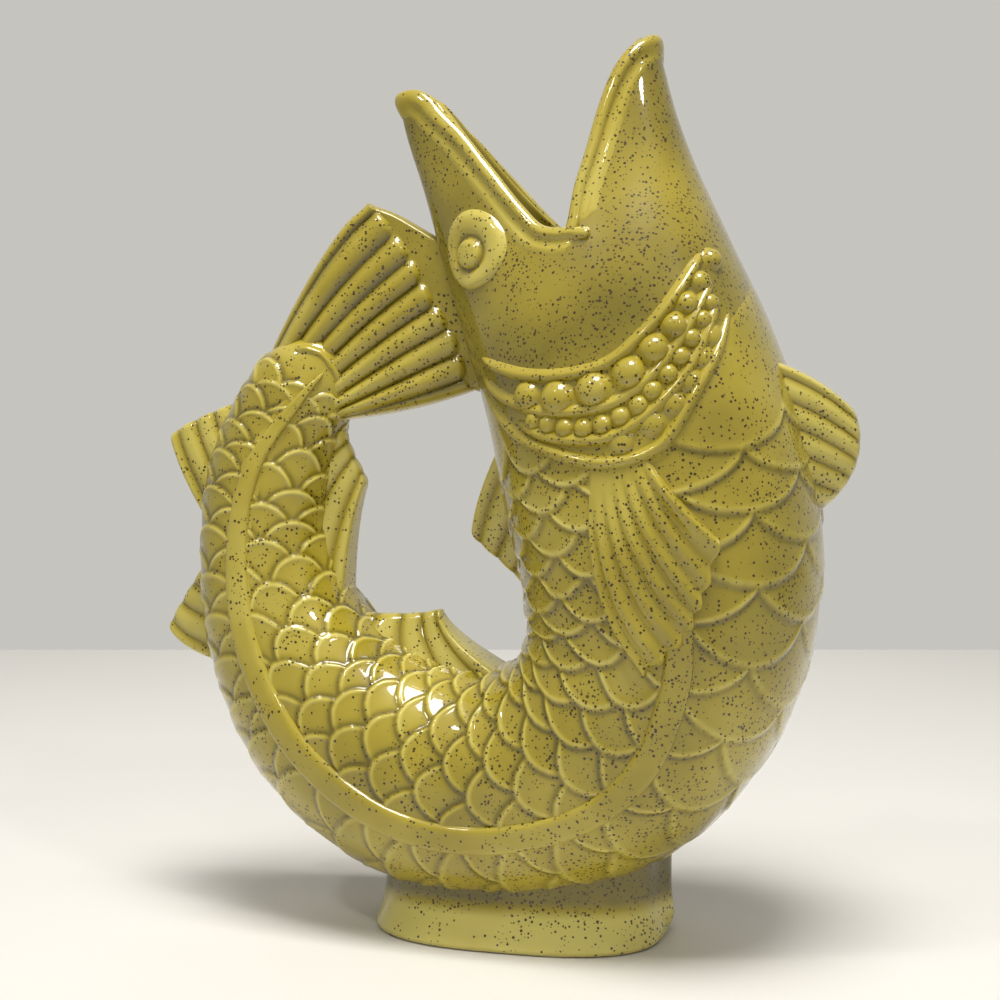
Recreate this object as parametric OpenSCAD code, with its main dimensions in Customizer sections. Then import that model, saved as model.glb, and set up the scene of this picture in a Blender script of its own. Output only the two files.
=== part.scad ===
// Gurgle jug: a hollow glazed fish that stands on an oval foot.
// The body bends up to an open mouth, and its hollow tail curls round to the back of the head,
// which makes the handle. The foot is hollow too, and open to the body.
// +X is the belly side, -X the tail, -Y the side that is photographed.
// The origin is the middle of the foot, on the table.

/* [Jug] */
// Height of the jug, from the table to the tip of the lower jaw
jug_h = 246; // [170:1:320]
// Greatest depth of the body, from its back to its belly
body_depth = 85; // [76:1:92]
// Greatest thickness of the body, from side to side
body_thick = 83; // [68:1:96]
// Thickness of the fired clay wall
wall = 4.5; // [3.5:0.1:6]

/* [Foot] */
// Length of the foot along the fish
foot_len = 84; // [74:1:96]
// Width of the foot across the fish
foot_wid = 56; // [48:1:64]
// Length of the waist between the foot and the body
waist_len = 80; // [70:1:84]
// Width of the waist between the foot and the body
waist_wid = 49; // [42:1:54]
// Height of the waist above the table
foot_h = 14; // [11:0.5:17]
// Wall of the foot ring
foot_wall = 5; // [4:0.5:7]

/* [Mouth and face] */
// Radius of the rolled bead along the mouth
lip_r = 1.8; // [1.2:0.1:2.4]
// Diameter of the raised disc of an eye
eye_d = 21; // [16:0.5:24]
// Height of the eye's disc above the cheek
eye_rise = 2.2; // [1.2:0.1:3.5]
// Diameter of the domed pupil
pupil_d = 9; // [6:0.5:12]
// Width of a raised gill line
gill_line_w = 2.6; // [1.8:0.1:3.6]
// Diameter of the largest gill bead
bead_d = 8.2; // [6:0.1:9]

/* [Fins and band] */
// Height of the tallest edge fin
fin_h = 16; // [11:0.5:20]
// Thickness of a fin along its free edge
fin_edge = 4; // [3:0.5:6]
// Thickness of an edge fin where it leaves the body
fin_root = 13; // [9:0.5:17]
// Thickness of the belly fin where it leaves the body
pelvic_root = 26; // [20:0.5:32]
// Thickness of the tail fan where it leaves the tail
fan_root = 13; // [10:0.5:17]
// Thickness of the tail fan where it meets the head
fan_edge = 8; // [6:0.5:11]
// Height of a fin rib above the web beside it
rib_rise = 1; // [0.6:0.1:1.6]
// Width of a fin rib
rib_w = 2.4; // [1.8:0.1:3.2]
// Height of a side fin above the flank
side_fin_rise = 3; // [2:0.1:4.5]
// Width of the smooth band along the flank
band_w = 8.5; // [6:0.5:11]
// Height of the band above the flank
band_rise = 1.4; // [0.8:0.1:2.2]

/* [Hidden] */

glaze = "#cdbb55";
pale_glaze = "#dccb6c";
deep_glaze = "#b8a540";

// Body stations, from beyond the mouth to the end of the tail: place along and up the jug as
// shares of its height, depth and thickness as shares of the body's, and how much wider the
// belly side is than the back.
station_shares = [
    [-0.051, 1.122, 0.800, 0.100, 0.30],
    [-0.004, 0.976, 0.824, 0.200, 0.30],
    [ 0.045, 0.821, 0.871, 0.460, 0.22],
    [ 0.085, 0.715, 0.913, 0.740, 0.12],
    [ 0.124, 0.618, 0.953, 0.900, 0.05],
    [ 0.154, 0.512, 0.988, 0.988, 0.00],
    [ 0.169, 0.407, 0.953, 1.000, 0.00],
    [ 0.157, 0.305, 0.882, 0.964, 0.00],
    [ 0.096, 0.215, 0.812, 0.916, 0.00],
    [-0.008, 0.169, 0.753, 0.855, 0.00],
    [-0.120, 0.179, 0.741, 0.783, 0.00],
    [-0.220, 0.238, 0.671, 0.687, 0.00],
    [-0.285, 0.329, 0.541, 0.578, 0.00],
    [-0.309, 0.431, 0.459, 0.482, 0.00],
    [-0.303, 0.520, 0.435, 0.410, 0.00],
    [-0.272, 0.602, 0.376, 0.313, 0.00],
    [-0.228, 0.667, 0.329, 0.241, 0.00]];

// The mouth's edge: angle round the body from the belly line, and the station it lies at.
rim_shares = [
    [0, 1.12], [21, 1.17], [36, 1.28], [47, 1.41], [57, 1.55], [69, 1.87], [79, 2.18],
    [85, 2.37], [91, 2.39], [97, 2.21], [109, 1.83], [123, 1.40], [132, 1.17], [138, 1.04],
    [147, 0.95], [160, 0.90], [180, 0.89]];

// Places on the flank are pairs: station, and angle from the belly line.
gill_line_shares = [
    [[3.17, 142], [3.65, 114], [3.82, 90], [3.66, 70], [3.39, 52], [3.10, 36]],
    [[3.36, 145], [3.75, 131], [4.06, 115], [4.20, 90], [4.00, 69], [3.60, 47], [3.42, 38]],
    [[4.05, 129], [4.33, 115], [4.49, 93], [4.26, 69], [3.87, 50], [3.62, 40]],
    [[3.45, 148], [4.04, 135], [4.36, 122], [4.70, 99], [4.69, 78], [4.28, 59], [3.75, 36]]];
big_bead_shares = [[3.81, 121], [3.96, 109], [4.01, 95], [3.98, 81], [3.85, 70], [3.72, 60],
                   [3.56, 52], [3.40, 43], [3.20, 32]];
big_bead_size_shares = [0.76, 0.95, 1.00, 0.96, 0.90, 0.80, 0.72, 0.66, 0.58];
small_bead_shares = [[4.10, 121], [4.19, 115], [4.28, 109], [4.34, 102], [4.36, 95], [4.34, 88],
                     [4.29, 81], [4.20, 75], [4.10, 68], [3.99, 62], [3.87, 56], [3.75, 49]];
small_bead_size_share = 0.55;
band_shares = [[15.3, 95], [14.4, 89], [13.4, 85], [12.5, 82], [11.5, 79], [10.6, 76], [9.8, 74],
               [8.9, 73], [8.2, 72], [7.6, 72], [6.9, 72], [6.6, 73], [6.38, 73]];
lip_corner_shares = [[2.32, 94], [2.44, 88], [2.53, 78]];
eye_place_share = [2.19, 130];

// A side fin's first and last rib: root, bend and tip on the flank, then the tips between them.
side_fin_first_shares = [[4.74, 101], [5.70, 110], [6.84, 89]];
side_fin_last_shares = [[4.86, 82], [5.20, 77], [5.55, 64]];
side_fin_tip_shares = [[6.84, 89], [6.48, 81], [6.19, 74], [5.86, 68], [5.55, 64]];

// Edge fins: station of the front root, then station and height of the front edge's middle, of
// the peak and of the rear edge's middle, then the station of the rear root. Heights are shares
// of the tallest fin.
neck_fin_shares = [3.95, 4.60, 0.42, 5.22, 0.84, 5.80, 0.36, 6.30];
loop_fin_shares = [8.60, 10.05, 0.44, 10.75, 0.86, 11.30, 0.56, 11.80];
tail_back_fin_shares = [11.80, 13.00, 0.40, 14.30, 0.66, 14.70, 0.40, 15.10];
upper_tail_fin_shares = [13.10, 13.66, 0.40, 14.09, 1.00, 14.36, 0.46, 14.66];
lower_tail_fin_shares = [11.90, 12.18, 0.52, 12.38, 0.92, 12.62, 0.46, 12.95];
belly_fin_shares = [4.12, 4.45, 0.36, 4.80, 0.86, 5.24, 0.64, 5.54];

// The tail fan, as shares of the jug's height along and up: roots at its two edges, the bends
// of its outer ribs and the line of rib tips, and the stations where its web meets the head.
fan_root_shares = [[-0.297, 0.640], [-0.216, 0.578]];
fan_bend_shares = [[-0.266, 0.736], [-0.132, 0.586]];
fan_tip_shares = [[-0.184, 0.818], [-0.137, 0.778], [-0.107, 0.724], [-0.075, 0.670],
                  [-0.058, 0.612]];
fan_head_share = [2.32, 3.62];

// How far towards the waist the foot's wall has drawn in, at shares of the waist's height. The
// first level is the top of the base plate.
foot_level_shares = [[0.32, 0], [0.5, 0.16], [0.75, 0.60], [1, 1], [2.2, 0.9]];

squareness = 2.3;
foot_squareness = 2.6;
half_points = 14;
mouth_rings = 8;
rings_per_station = 3;
mouth_end = 3;
tail_end = len(station_shares) - 1;
cap_start = tail_end - 1;
small_step = 0.001;
gill_steps = 8;
fin_sink = 6;
foot_turn = 10;
pad = 1;

function mix(a, b, t) = a + (b - a) * t;

// Smooth curve through the points of a list, at a running number.
function through(list, u) =
    let (last = len(list) - 1, i = min(last - 1, max(0, floor(u))), t = u - i,
         p1 = list[i], p2 = list[i + 1],
         p0 = i > 0 ? list[i - 1] : 2 * p1 - p2,
         p3 = i < last - 1 ? list[i + 2] : 2 * p2 - p1)
    p1 + 0.5 * t * (p2 - p0 + t * (2 * p0 - 5 * p1 + 4 * p2 - p3 + t * (3 * p1 - 3 * p2 + p3 - p0)));

// A point of a list at a share of the way along it.
function along(list, share) = through(list, share * (len(list) - 1));

// Station at a running number, in real sizes: place along, place up, half depth, half thickness.
function station(u) =
    let (s = through(station_shares, u))
    [s[0] * jug_h, s[1] * jug_h, s[2] * body_depth / 2, s[3] * body_thick / 2, s[4]];

// Outward direction on the belly side of the spine, in the plane of symmetry.
function outward(u) =
    let (a = station(u - small_step), b = station(u + small_step),
         d = [b[0] - a[0], b[1] - a[1]] / norm([b[0] - a[0], b[1] - a[1]]))
    [-d[1], d[0]];

// The rounded end of the tail draws the section in to a point.
function cap(u, end) = u <= cap_start ? 1 : sqrt(max(0, 1 - pow((u - cap_start) / (end - cap_start), 2)));

// A point of the body at a station and an angle from the belly line, moved out by rise.
function body_point(u, angle, rise = 0, end = tail_end) =
    let (s = station(u), n = outward(u), c = cos(angle), w = sin(angle), k = cap(u, end),
         r = pow(pow(abs(c), squareness) + pow(abs(w), squareness), -1 / squareness),
         across = (s[2] + rise) * c * r * k)
    [s[0] + n[0] * across, -(s[3] + rise) * w * r * k * (1 + s[4] * c), s[1] + n[1] * across];

// Rings run from the mouth's edge, which is drawn into the rings below it, to the tail's end.
ring_count = mouth_rings + (tail_end - mouth_end) * rings_per_station;
function ring_station(i, angle) =
    i < mouth_rings ? mix(lookup(angle, rim_shares), mouth_end, i / mouth_rings)
                    : mouth_end + (i - mouth_rings) / rings_per_station;

// The inner surface ends a wall's thickness before the outer one.
tail_reach = norm([station(tail_end)[0] - station(cap_start)[0],
                   station(tail_end)[1] - station(cap_start)[1]]);
inner_end = tail_end - wall / tail_reach;
function inner_station(u) =
    u <= cap_start ? u : cap_start + (u - cap_start) * (inner_end - cap_start);

function outer_ring(i) = [for (j = [0:half_points])
    let (a = j * 180 / half_points) body_point(ring_station(i, a), a)];
function inner_ring(i) = [for (j = [0:half_points])
    let (a = j * 180 / half_points)
    body_point(inner_station(ring_station(i, a)), a, -wall, inner_end)];

// One half of the hollow body: outer skin, inner skin, the flat seam between them and the mouth's
// edge. Both skins close to a point at the tail's end.
module half_shell() {
    n = half_points + 1;
    rows = ring_count;
    outer = [for (i = [0:rows - 1]) each outer_ring(i)];
    inner = [for (i = [0:rows - 1]) each inner_ring(i)];
    poles = [body_point(tail_end, 0), body_point(inner_end, 0, -wall, inner_end)];
    base = rows * n;
    outer_pole = 2 * base;
    inner_pole = outer_pole + 1;
    skin = [for (i = [0:rows - 2], j = [0:n - 2]) let (a = i * n + j, b = a + n)
            each [[a, b + 1, a + 1], [a, b, b + 1]]];
    lining = [for (f = skin) [base + f[0], base + f[2], base + f[1]]];
    last = (rows - 1) * n;
    ends = [for (j = [0:n - 2])
            each [[last + j + 1, last + j, outer_pole],
                  [base + last + j, base + last + j + 1, inner_pole]]];
    seams = [for (i = [0:rows - 2]) let (a = i * n, b = a + n, c = a + n - 1, d = c + n)
             each [[a, base + b, b], [a, base + a, base + b],
                   [c, d, base + d], [c, base + d, base + c]]];
    far = last + n - 1;
    seam_ends = [[last, inner_pole, outer_pole], [last, base + last, inner_pole],
                 [far, outer_pole, inner_pole], [far, inner_pole, base + far]];
    mouth = [for (j = [0:n - 2]) each [[j, j + 1, base + j + 1], [j, base + j + 1, base + j]]];
    polyhedron(concat(outer, inner, poles), concat(skin, lining, ends, seams, seam_ends, mouth));
}

// The body without its hollow, which every applied piece is cut to.
module full_body() {
    n = 2 * half_points;
    rows = ring_count;
    points = [for (i = [0:rows - 1], j = [0:n - 1])
              let (a = min(j, n - j) * 180 / half_points, p = body_point(ring_station(i, a), a))
              j <= half_points ? p : [p[0], -p[1], p[2]]];
    pole = rows * n;
    last = (rows - 1) * n;
    skin = [for (i = [0:rows - 2], j = [0:n - 1]) let (a = i * n + j, b = i * n + (j + 1) % n)
            each [[a, b + n, b], [a, a + n, b + n]]];
    tail = [for (j = [0:n - 1]) [last + (j + 1) % n, last + j, pole]];
    mouth = [for (j = [0:half_points - 1]) let (a = (n - j) % n, b = n - j - 1)
             each (j == 0 ? [[j, j + 1, b]] :
                   j == half_points - 1 ? [[j, j + 1, a]] : [[j, b, a], [j, j + 1, b]])];
    polyhedron(concat(points, [body_point(tail_end, 0)]), concat(skin, tail, mouth));
}

module ball(place, r, sides = 6) {
    translate(place) sphere(r = r, $fn = sides);
}

// A smooth line of hulled balls along places on the flank.
module flank_line(places, r, rise, steps) {
    for (i = [0:steps - 1])
        hull() for (k = [i, i + 1])
            let (p = along(places, k / steps)) ball(body_point(p[0], p[1], rise), r);
}

// A short post across the fish, the unit that the flat fins are hulled from.
module post(place, thick, r) {
    translate([place[0], 0, place[1]]) rotate([90, 0, 0])
        cylinder(h = thick, r = r, center = true, $fn = 6);
}

// A place in the plane of symmetry, at a height off the belly edge or the back edge.
function edge_place(u, height, belly) =
    let (n = outward(u), p = body_point(u, belly ? 0 : 180), k = belly ? 1 : -1)
    [p[0] + n[0] * k * height, p[2] + n[1] * k * height];

// Three places as a bend, at a share of the way along.
function bend(a, b, c, t) = mix(mix(a, b, t), mix(b, c, t), t);

// A web with ribs, hulled strip by strip. Each rib is a list of places from root to tip.
module ribbed_web(ribs, root_thick, edge_thick) {
    steps = len(ribs[0]) - 1;
    for (i = [0:len(ribs) - 1], k = [0:steps - 1]) {
        near = mix(root_thick, edge_thick, k / steps);
        far = mix(root_thick, edge_thick, (k + 1) / steps);
        hull() {
            post(ribs[i][k], near + 2 * rib_rise, rib_w / 2);
            post(ribs[i][k + 1], far + 2 * rib_rise, rib_w / 2);
        }
        if (i < len(ribs) - 1) hull() {
            post(ribs[i][k], near, rib_w / 2);
            post(ribs[i + 1][k], near, rib_w / 2);
            post(ribs[i][k + 1], far, rib_w / 2);
            post(ribs[i + 1][k + 1], far, rib_w / 2);
        }
    }
}

// An edge fin: its ribs start along the body and end along the fin's rear edge.
module edge_fin(shares, belly, root_thick, rib_total = 5) {
    front_middle = edge_place(shares[1], shares[2] * fin_h, belly);
    peak = edge_place(shares[3], shares[4] * fin_h, belly);
    rear_middle = edge_place(shares[5], shares[6] * fin_h, belly);
    rear = edge_place(shares[7], -pad, belly);
    ribs = [for (i = [0:rib_total - 1]) let (t = i / (rib_total - 1),
            root = edge_place(mix(shares[0], shares[7], t), -fin_sink, belly),
            tip = bend(peak, 2 * rear_middle - (peak + rear) / 2, rear, t))
            [root, mix(front_middle, mix(root, tip, 0.5), t), tip]];
    color(glaze) difference() {
        ribbed_web(ribs, root_thick, fin_edge);
        full_body();
    }
}

module neck_fin() edge_fin(neck_fin_shares, false, fin_root);

module loop_fin() edge_fin(loop_fin_shares, false, fin_root);

module tail_back_fin() edge_fin(tail_back_fin_shares, false, fin_root);

module upper_tail_fin() edge_fin(upper_tail_fin_shares, true, fin_root);

module lower_tail_fin() edge_fin(lower_tail_fin_shares, true, fin_root);

module belly_fin() edge_fin(belly_fin_shares, true, pelvic_root, 7);

// The fan closes the handle: its ribs leave the tail's end and its web meets the head.
module tail_fan() {
    rib_total = 9;
    ribs = [for (i = [0:rib_total - 1]) let (t = i / (rib_total - 1),
            root = mix(fan_root_shares[0], fan_root_shares[1], t) * jug_h,
            middle = mix(fan_bend_shares[0], fan_bend_shares[1], t) * jug_h,
            tip = along(fan_tip_shares, t) * jug_h)
            [root, bend(root, middle, tip, 0.5), tip]];
    head = [for (i = [0:rib_total - 1])
            edge_place(mix(fan_head_share[0], fan_head_share[1], i / (rib_total - 1)), -fin_sink, false)];
    color(pale_glaze) difference() {
        union() {
            ribbed_web(ribs, fan_root, fan_edge);
            for (i = [0:rib_total - 2]) hull() {
                post(ribs[i][2], fan_edge, rib_w / 2);
                post(ribs[i + 1][2], fan_edge, rib_w / 2);
                post(head[i], fan_edge, rib_w / 2);
                post(head[i + 1], fan_edge, rib_w / 2);
            }
        }
        full_body();
    }
}

// A side fin lies on the flank: ribs from the gill line to the fin's scalloped tip.
module side_fin() {
    rib_total = 7;
    steps = 3;
    rib_r = rib_w / 2;
    web_r = rib_w / 4;
    first = side_fin_first_shares;
    final = side_fin_last_shares;
    ribs = [for (i = [0:rib_total - 1]) let (t = i / (rib_total - 1),
            tip = along(side_fin_tip_shares, t))
            [for (k = [0:steps])
             bend(mix(first[0], final[0], t), mix(first[1], final[1], t), tip, k / steps)]];
    color(glaze) difference() {
        for (i = [0:rib_total - 1], k = [0:steps - 1]) {
            hull() for (p = [ribs[i][k], ribs[i][k + 1]])
                ball(body_point(p[0], p[1], side_fin_rise - rib_r), rib_r);
            if (i < rib_total - 1)
                hull() for (p = [ribs[i][k], ribs[i][k + 1], ribs[i + 1][k], ribs[i + 1][k + 1]])
                    for (rise = [-pad, side_fin_rise - rib_rise - web_r])
                        ball(body_point(p[0], p[1], rise), web_r);
        }
        full_body();
    }
}

module front_side_fin() side_fin();

module back_side_fin() mirror([0, 1, 0]) side_fin();

// The smooth band that parts the back's scales from the belly's. It ends just short of the side fin.
module flank_band() {
    steps = 28;
    edge_r = band_rise;
    color(glaze) difference() {
        for (i = [0:steps - 1])
            hull() for (k = [i, i + 1], side = [-1, 1])
                let (p = along(band_shares, k / steps), round = station(p[0])[3],
                     turn = side * (band_w / 2 - edge_r) / round * 180 / PI)
                ball(body_point(p[0], p[1] + turn, band_rise - edge_r), edge_r);
        full_body();
    }
}

module front_flank_band() flank_band();

module back_flank_band() mirror([0, 1, 0]) flank_band();

// A raised disc with a domed pupil, bent to the cheek.
module eye() {
    sectors = 14;
    rim_r = eye_rise / 2;
    u = eye_place_share[0];
    angle = eye_place_share[1];
    here = station(u);
    reach = norm([station(u + 0.5)[0] - station(u - 0.5)[0], station(u + 0.5)[1] - station(u - 0.5)[1]]);
    half_u = (eye_d / 2 - rim_r) / reach;
    half_turn = (eye_d / 2 - rim_r) / (here[3] + here[2]) * 2 * 180 / PI;
    color(pale_glaze) difference() {
        union() {
            for (i = [0:sectors - 1])
                hull() {
                    for (k = [i, i + 1]) let (a = k * 360 / sectors)
                        ball(body_point(u + half_u * cos(a), angle + half_turn * sin(a), eye_rise - rim_r),
                             rim_r);
                    ball(body_point(u, angle, eye_rise - rim_r), rim_r);
                }
            ball(body_point(u, angle, eye_rise - pupil_d / 4), pupil_d / 2, 16);
        }
        full_body();
    }
}

module front_eye() eye();

module back_eye() mirror([0, 1, 0]) eye();

// Raised lines that frame the rows of gill beads.
module gill_lines() {
    r = gill_line_w / 2;
    color(glaze) difference() {
        for (places = gill_line_shares) flank_line(places, r, r / 3, gill_steps);
        full_body();
    }
}

module front_gill_lines() gill_lines();

module back_gill_lines() mirror([0, 1, 0]) gill_lines();

// Two rows of beads. Each is hulled down into the wall, so that it stands on the cheek.
module gill_beads() {
    color(pale_glaze) difference() {
        union() {
            for (i = [0:len(big_bead_shares) - 1])
                bead(big_bead_shares[i], bead_d * big_bead_size_shares[i] / 2, 8);
            for (place = small_bead_shares)
                bead(place, bead_d * small_bead_size_share / 2, 6);
        }
        union() {
            full_body();
            for (places = gill_line_shares) flank_line(places, gill_line_w / 2, gill_line_w / 6, gill_steps);
        }
    }
}

module bead(place, r, sides) {
    hull() for (rise = [-r / 2, 0]) ball(body_point(place[0], place[1], rise), r, sides);
}

module front_gill_beads() gill_beads();

module back_gill_beads() mirror([0, 1, 0]) gill_beads();

// The rolled bead along the whole mouth, with a tongue over each corner, cut to the wall's rim.
module mouth_lip() {
    steps = 20;
    color(pale_glaze) difference() {
        for (side = [0, 1]) mirror([0, side, 0]) {
            for (i = [0:steps - 1])
                hull() for (k = [i, i + 1])
                    let (a = k * 180 / steps) ball(body_point(lookup(a, rim_shares), a), lip_r);
            flank_line(lip_corner_shares, lip_r, 0, 4);
        }
        union() {
            full_body();
            half_shell();
            mirror([0, 1, 0]) half_shell();
        }
    }
}

// The foot's oval outline at a level of its wall, drawn in by inset and moved up by lift.
function foot_oval(level, inset, lift) =
    let (long = mix(foot_len, waist_len, level[1]) / 2 - inset,
         wide = mix(foot_wid, waist_wid, level[1]) / 2 - inset)
    [for (a = [0:foot_turn:359]) let (c = cos(a), w = sin(a),
     r = pow(pow(abs(c), foot_squareness) + pow(abs(w), foot_squareness), -1 / foot_squareness))
     [long * c * r, wide * w * r, level[0] * foot_h + lift]];

// One layer of the foot, between two levels. A recess runs past both ends by an overrun.
module foot_layer(i, inset, overrun) {
    low = foot_oval(foot_level_shares[i], inset, i == 0 ? -overrun : 0);
    high = foot_oval(foot_level_shares[i + 1], inset, i == len(foot_level_shares) - 2 ? overrun : 0);
    n = len(low);
    hull() polyhedron(concat(low, high),
                      concat([[for (j = [0:n - 1]) j], [for (j = [n - 1:-1:0]) n + j]],
                             [for (j = [0:n - 1]) [j, n + j, n + (j + 1) % n, (j + 1) % n]]));
}

// The hollow of the foot, open to the body above it. It runs into the base by an overrun.
module foot_well(overrun) {
    for (i = [0:len(foot_level_shares) - 2]) foot_layer(i, foot_wall, overrun);
}

// The foot's wall is waisted under the body and cut to it.
module foot_ring() {
    color(deep_glaze) difference() {
        for (i = [0:len(foot_level_shares) - 2]) foot_layer(i, 0, 0);
        union() {
            full_body();
            foot_well(pad);
        }
    }
}

// The plate that closes the foot and that the jug stands on.
module foot_base() {
    level = foot_level_shares[0];
    color(deep_glaze) linear_extrude(level[0] * foot_h)
        polygon([for (p = foot_oval(level, 0, 0)) [p[0], p[1]]]);
}

// One half of the body, open to the foot's hollow.
module body_half() {
    color(glaze) difference() {
        half_shell();
        foot_well(foot_h);
    }
}

module front_shell() body_half();

module back_shell() mirror([0, 1, 0]) body_half();

front_shell();
back_shell();
foot_ring();
foot_base();
mouth_lip();
front_eye();
back_eye();
front_gill_lines();
back_gill_lines();
front_gill_beads();
back_gill_beads();
front_flank_band();
back_flank_band();
front_side_fin();
back_side_fin();
belly_fin();
neck_fin();
loop_fin();
tail_back_fin();
upper_tail_fin();
lower_tail_fin();
tail_fan();
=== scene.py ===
import bmesh
import bpy
import numpy as np
from mathutils import Matrix


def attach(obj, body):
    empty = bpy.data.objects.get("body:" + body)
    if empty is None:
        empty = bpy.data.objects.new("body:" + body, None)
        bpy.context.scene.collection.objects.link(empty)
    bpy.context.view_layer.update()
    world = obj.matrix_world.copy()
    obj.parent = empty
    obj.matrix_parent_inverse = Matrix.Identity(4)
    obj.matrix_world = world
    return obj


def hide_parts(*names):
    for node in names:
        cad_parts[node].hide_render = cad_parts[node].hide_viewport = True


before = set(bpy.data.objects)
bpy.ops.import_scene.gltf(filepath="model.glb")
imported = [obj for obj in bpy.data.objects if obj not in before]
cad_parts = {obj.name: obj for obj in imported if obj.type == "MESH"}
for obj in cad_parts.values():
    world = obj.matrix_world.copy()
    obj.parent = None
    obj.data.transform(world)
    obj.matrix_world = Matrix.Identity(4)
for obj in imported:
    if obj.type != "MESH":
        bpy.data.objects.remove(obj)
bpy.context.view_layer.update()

# The two halves of the body
# The hollow fish: glazed earthenware, slip cast in a two-part plaster mould, so each half is a
# closed shell of one wall's thickness that meets the other on the mould seam in y = 0.
# The mouth is open at the top, the tail ends blind, and the belly is open to the hollow foot.

JUG_H, DEPTH, THICK, WALL = 0.246, 0.085, 0.083, 0.0045
MM = 0.001

# Stations along the spine: place along and up as shares of the height, half depth and half
# thickness as shares of the body's, and how much fuller the belly side is than the back.
STATIONS = np.array([
    [-0.051, 1.122, 0.800, 0.100, 0.30], [-0.004, 0.976, 0.824, 0.200, 0.30],
    [0.045, 0.821, 0.871, 0.460, 0.22], [0.085, 0.715, 0.913, 0.740, 0.12],
    [0.124, 0.618, 0.953, 0.900, 0.05], [0.154, 0.512, 0.988, 0.988, 0.00],
    [0.169, 0.407, 0.953, 1.000, 0.00], [0.157, 0.305, 0.882, 0.964, 0.00],
    [0.096, 0.215, 0.812, 0.916, 0.00], [-0.008, 0.169, 0.753, 0.855, 0.00],
    [-0.120, 0.179, 0.741, 0.783, 0.00], [-0.220, 0.238, 0.671, 0.687, 0.00],
    [-0.285, 0.329, 0.541, 0.578, 0.00], [-0.309, 0.431, 0.459, 0.482, 0.00],
    [-0.303, 0.520, 0.435, 0.410, 0.00], [-0.272, 0.602, 0.376, 0.313, 0.00],
    [-0.228, 0.667, 0.329, 0.241, 0.00]]) * [JUG_H, JUG_H, DEPTH / 2, THICK / 2, 1]
SQUARENESS = 2.3
TAIL_END, CAP_START, HEAD_END = 16, 15, 3

# The mouth's edge: angle round the body from the belly line, and the station it lies at.
RIM = np.array([
    [0, 1.12], [21, 1.17], [36, 1.28], [47, 1.41], [57, 1.55], [69, 1.87], [79, 2.18],
    [85, 2.37], [91, 2.39], [97, 2.21], [109, 1.83], [123, 1.40], [132, 1.17], [138, 1.04],
    [147, 0.95], [160, 0.90], [180, 0.89]])


def curve(points, u):
    """Catmull-Rom curve through a list of points at running numbers u. The ends are extended by
    twice the end point less the one beside it."""
    points = np.asarray(points, float)
    padded = np.vstack([2 * points[0] - points[1], points, 2 * points[-1] - points[-2]])
    i = np.clip(np.floor(u).astype(int), 0, len(points) - 2)
    t = (u - i)[..., None]
    p0, p1, p2, p3 = padded[i], padded[i + 1], padded[i + 2], padded[i + 3]
    return p1 + 0.5 * t * (p2 - p0 + t * (2 * p0 - 5 * p1 + 4 * p2 - p3
                                          + t * (3 * p1 - 3 * p2 + p3 - p0)))


def outwards(u):
    """Unit direction towards the belly in y = 0: the spine's own direction turned a quarter."""
    d = unit((curve(STATIONS, u + 0.001) - curve(STATIONS, u - 0.001))[..., :2])
    return np.stack([-d[..., 1], d[..., 0]], -1)


def body(u, v, rise=0.0, end=TAIL_END):
    """Point of the body at station u and angle v degrees from the belly line, moved out by rise.
    The section is |x/a|^q + |y/b|^q = 1 about the spine, egg shaped by 1 + egg cos v, and it
    shrinks by sqrt(1 - t^2) over the last station, and by that to the 0.45 in thickness, which
    rounds the tail's end to a thick tongue."""
    u, v, rise = np.broadcast_arrays(np.asarray(u, float), np.asarray(v, float),
                                     np.asarray(rise, float))
    s, n = curve(STATIONS, u), outwards(u)
    c, w = np.cos(np.radians(v)), np.sin(np.radians(v))
    t = np.clip((u - CAP_START) / (end - CAP_START), 0, 1)
    drawn_in = np.sqrt(1 - t * t)
    r = (abs(c) ** SQUARENESS + abs(w) ** SQUARENESS) ** (-1 / SQUARENESS)
    across = (s[..., 2] + rise) * c * r * drawn_in
    return np.stack([s[..., 0] + n[..., 0] * across,
                     -(s[..., 3] + rise) * w * r * (1 + s[..., 4] * c) * drawn_in ** 0.45,
                     s[..., 1] + n[..., 1] * across], -1)


def skin(u, v, rise=0.0):
    """The body's outer face as it left the mould: slow swells of 0.2 mm from fettling by hand, and
    the tips of the lower and upper jaw 2 and 1.5 mm thicker, each in a bell curve."""
    swell = np.sin(2.3 * u + 0.9) * np.cos(np.radians(3 * v)) + np.sin(1.1 * u + np.radians(2 * v))
    jaw = 2.0 * MM * np.exp(-((u - 1.1) / 0.4) ** 2 - (v / 45) ** 2)
    snout = 1.5 * MM * np.exp(-((u - 1.15) / 0.35) ** 2 - ((180 - v) / 40) ** 2)
    return body(u, v, rise + 0.1 * MM * swell + jaw + snout)


def slopes(u, v):
    """How far the skin moves for one station and for one degree, by central differences."""
    step = 0.02
    return ((body(u + step, v) - body(u - step, v)) / (2 * step),
            (body(u, v + step) - body(u, v - step)) / (2 * step))


def unit(a):
    return a / np.linalg.norm(a, axis=-1, keepdims=True)


def size(a):
    return np.linalg.norm(a, axis=-1)


def ease(a, b, x):
    """Smooth step from 0 at a to 1 at b: 3t^2 - 2t^3."""
    t = np.clip((x - a) / (b - a), 0, 1)
    return t * t * (3 - 2 * t)


# How far points crowd to a fin's edges, from 0 for even spacing to 1.
EDGE_CROWD = 0.75


def crowded(count, crowd=EDGE_CROWD):
    """0 to 1 in count places, crowded towards both ends."""
    t = np.linspace(0, 1, count)
    return t - crowd * np.sin(2 * np.pi * t) / (2 * np.pi)


def along(points, count, crowd=0.0):
    """A smooth line through points, count places long, crowded towards both ends."""
    return curve(points, crowded(count, crowd) * (len(points) - 1)).T


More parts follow.
